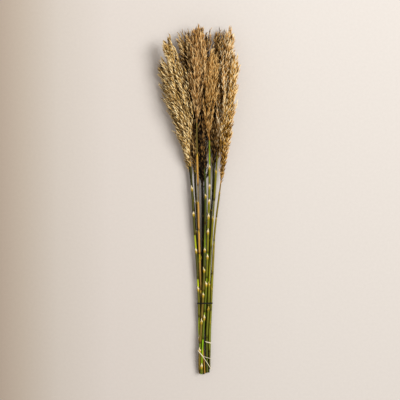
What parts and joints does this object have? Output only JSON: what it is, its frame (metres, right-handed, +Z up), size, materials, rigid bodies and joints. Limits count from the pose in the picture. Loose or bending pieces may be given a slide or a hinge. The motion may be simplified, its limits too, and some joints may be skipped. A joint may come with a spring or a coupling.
{
  "type": "bundle of preserved plume reed",
  "caption": "Tied bundle of preserved plume reed lying flat: slim green and tan culms with pale torn leaf sheaths, feathery tan plumes, a black tie and cream elastic bands.",
  "frame": {"origin": "under the middle of the bundle's box, on the surface that it lies on", "axes": "+Y along the culms, from the cut ends to the plume tips; +Z up, away from the surface; +X to the right, seen from above with the plumes away from the viewer"},
  "size_m": [0.178, 0.8, 0.0647],
  "materials": {
    "culm": "smooth dried grass stem, green to straw, slight waxy gloss",
    "sheath": "dry ribbed leaf sheath, straw to olive, with a pale torn mouth",
    "plume": "matt feathery flower plume, golden tan to olive brown",
    "black_tie": "thin matt black band",
    "cream_band": "thin natural rubber band, satin"
  },
  "bodies": {
    "root": {"reed_01_culm": "culm", "reed_01_sheath_upper": "sheath", "reed_01_sheath_middle": "sheath", "reed_01_sheath_lower": "sheath", "reed_01_plume": "plume", "reed_02_culm": "culm", "reed_02_sheath_upper": "sheath", "reed_02_sheath_middle": "sheath", "reed_02_sheath_lower": "sheath", "reed_02_plume": "plume", "reed_03_culm": "culm", "reed_03_sheath_upper": "sheath", "reed_03_sheath_middle": "sheath", "reed_03_sheath_lower": "sheath", "reed_03_plume": "plume", "reed_04_culm": "culm", "reed_04_sheath_upper": "sheath", "reed_04_sheath_middle": "sheath", "reed_04_sheath_lower": "sheath", "reed_04_plume": "plume", "reed_05_culm": "culm", "reed_05_sheath_upper": "sheath", "reed_05_sheath_middle": "sheath", "reed_05_sheath_lower": "sheath", "reed_05_plume": "plume", "reed_06_culm": "culm", "reed_06_sheath_upper": "sheath", "reed_06_sheath_middle": "sheath", "reed_06_sheath_lower": "sheath", "reed_06_plume": "plume", "reed_07_culm": "culm", "reed_07_sheath_upper": "sheath", "reed_07_sheath_middle": "sheath", "reed_07_sheath_lower": "sheath", "reed_07_plume": "plume", "reed_08_culm": "culm", "reed_08_sheath_upper": "sheath", "reed_08_sheath_middle": "sheath", "reed_08_sheath_lower": "sheath", "reed_08_plume": "plume", "reed_09_culm": "culm", "reed_09_sheath_upper": "sheath", "reed_09_sheath_middle": "sheath", "reed_09_sheath_lower": "sheath", "reed_09_plume": "plume", "reed_10_culm": "culm", "reed_10_sheath_upper": "sheath", "reed_10_sheath_middle": "sheath", "reed_10_sheath_lower": "sheath", "reed_10_plume": "plume", "black_tie": "black_tie", "cream_band_upper": "cream_band", "cream_band_middle": "cream_band", "cream_band_lower": "cream_band"}
  },
  "joints": []
}
